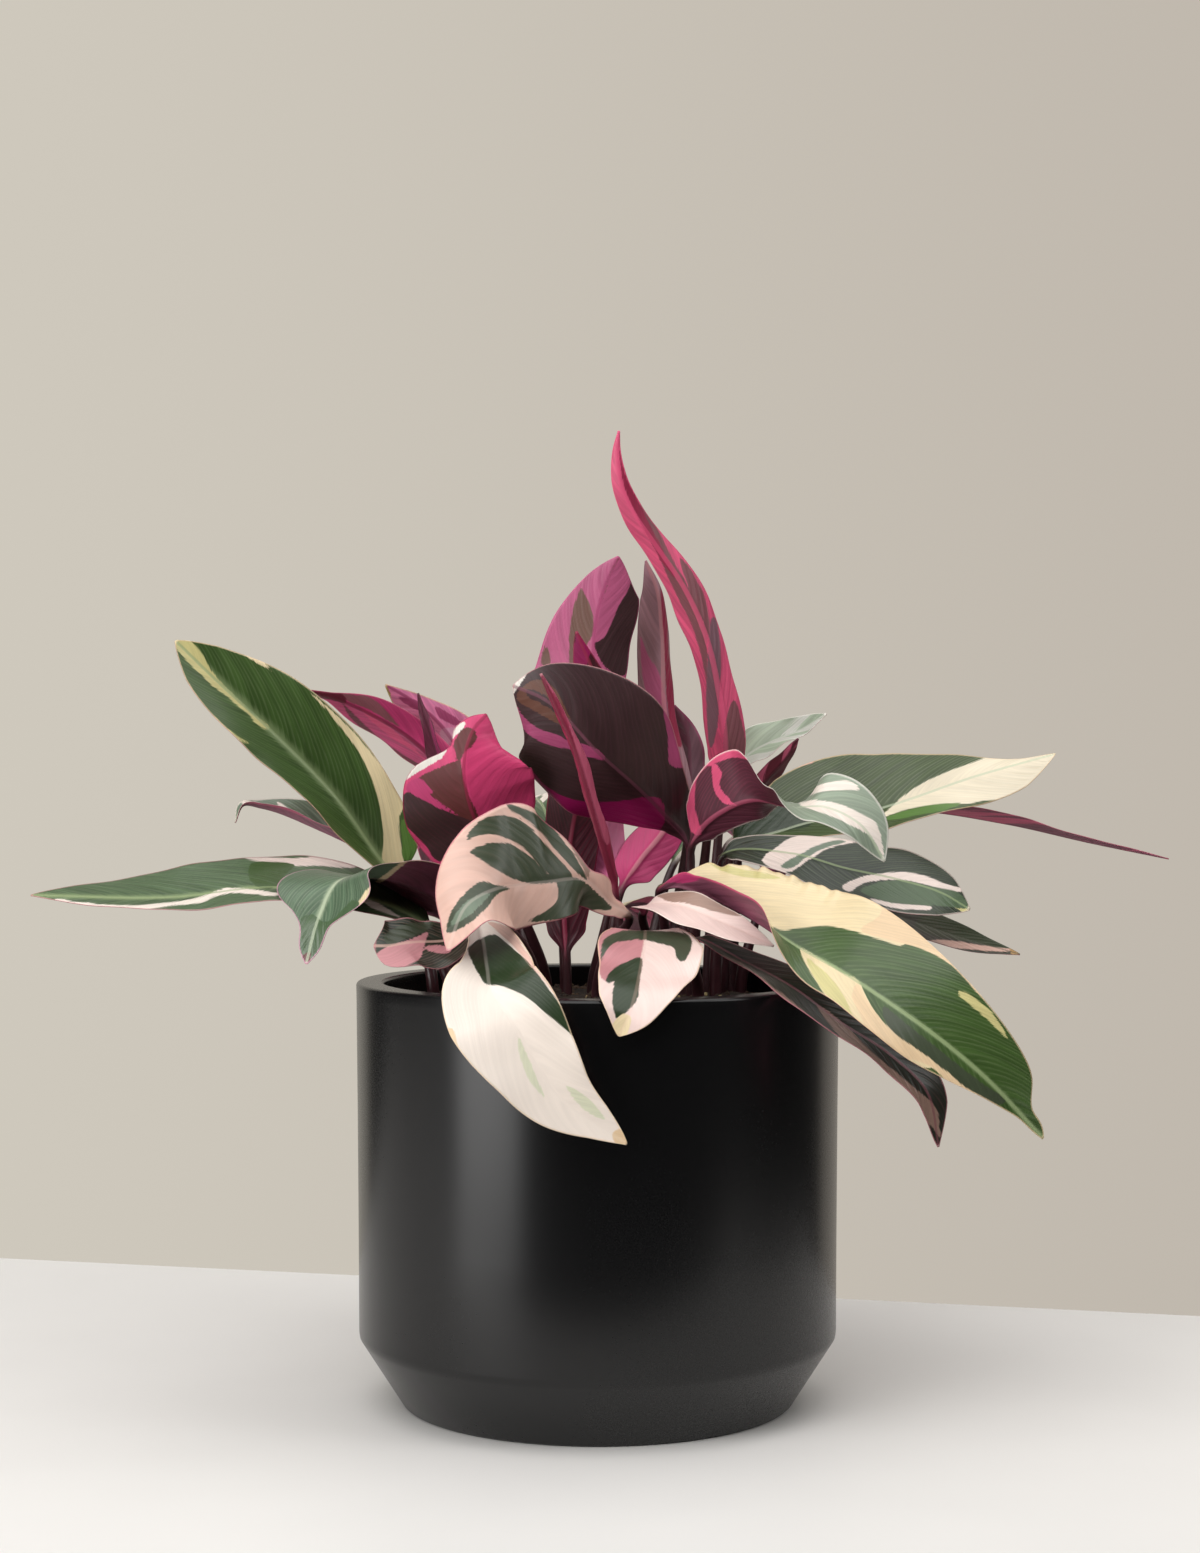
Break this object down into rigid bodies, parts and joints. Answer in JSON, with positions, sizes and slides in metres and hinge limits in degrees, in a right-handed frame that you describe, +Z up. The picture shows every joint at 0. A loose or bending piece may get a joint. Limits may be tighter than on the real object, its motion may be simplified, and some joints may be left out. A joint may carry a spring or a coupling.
{
  "type": "potted prayer plant",
  "caption": "Potted prayer plant with broad green, cream and pink leaves, magenta beneath, in a plain black cylindrical pot with a chamfered foot.",
  "frame": {"origin": "middle of the pot's underside, on the surface it stands on", "axes": "+Z up, -Y towards the viewer of the picture, +X to the right in the picture"},
  "size_m": [0.4772, 0.3268, 0.4041],
  "materials": {
    "pot": "satin black",
    "soil": "rough brown potting soil",
    "leaf_left_upright": "satin leaf",
    "leaf_left_narrow": "satin leaf",
    "leaf_left_long": "satin leaf",
    "leaf_left_drooping": "satin leaf",
    "leaf_magenta_left": "satin leaf",
    "leaf_pink_tip": "satin leaf",
    "leaf_left_spear": "satin leaf",
    "leaf_broad_pink": "satin leaf",
    "leaf_dark_oval": "satin leaf",
    "leaf_rolled": "satin leaf",
    "leaf_upper_pink": "satin leaf",
    "leaf_centre_young": "satin leaf",
    "leaf_upper_narrow": "satin leaf",
    "leaf_tall_twisted": "satin leaf",
    "leaf_back_grey": "satin leaf",
    "leaf_right_spears": "satin leaf",
    "leaf_curled_magenta": "satin leaf",
    "leaf_right_cream_tip": "satin leaf",
    "leaf_right_edge_on": "satin leaf",
    "leaf_right_striped": "satin leaf",
    "leaf_right_dark": "satin leaf",
    "leaf_big_right": "satin leaf",
    "leaf_pale_small": "satin leaf",
    "leaf_right_trailing": "satin leaf",
    "leaf_front_small": "satin leaf",
    "leaf_front_cream": "satin leaf",
    "leaf_front_striped": "satin leaf",
    "leaf_left_small": "satin leaf",
    "leaf_back_mauve": "satin leaf",
    "leaf_rear_left": "satin leaf",
    "leaf_rear_middle": "satin leaf",
    "leaf_rear_right": "satin leaf",
    "leaf_rear_low": "satin leaf"
  },
  "bodies": {
    "root": {"pot": "pot", "soil": "soil", "leaf_left_upright": "leaf_left_upright", "leaf_left_narrow": "leaf_left_narrow", "leaf_left_long": "leaf_left_long", "leaf_left_drooping": "leaf_left_drooping", "leaf_magenta_left": "leaf_magenta_left", "leaf_pink_tip": "leaf_pink_tip", "leaf_left_spear": "leaf_left_spear", "leaf_broad_pink": "leaf_broad_pink", "leaf_dark_oval": "leaf_dark_oval", "leaf_rolled": "leaf_rolled", "leaf_upper_pink": "leaf_upper_pink", "leaf_centre_young": "leaf_centre_young", "leaf_upper_narrow": "leaf_upper_narrow", "leaf_tall_twisted": "leaf_tall_twisted", "leaf_back_grey": "leaf_back_grey", "leaf_right_spears": "leaf_right_spears", "leaf_curled_magenta": "leaf_curled_magenta", "leaf_right_cream_tip": "leaf_right_cream_tip", "leaf_right_edge_on": "leaf_right_edge_on", "leaf_right_striped": "leaf_right_striped", "leaf_right_dark": "leaf_right_dark", "leaf_big_right": "leaf_big_right", "leaf_pale_small": "leaf_pale_small", "leaf_right_trailing": "leaf_right_trailing", "leaf_front_small": "leaf_front_small", "leaf_front_cream": "leaf_front_cream", "leaf_front_striped": "leaf_front_striped", "leaf_left_small": "leaf_left_small", "leaf_back_mauve": "leaf_back_mauve", "leaf_rear_left": "leaf_rear_left", "leaf_rear_middle": "leaf_rear_middle", "leaf_rear_right": "leaf_rear_right", "leaf_rear_low": "leaf_rear_low"}
  },
  "joints": []
}
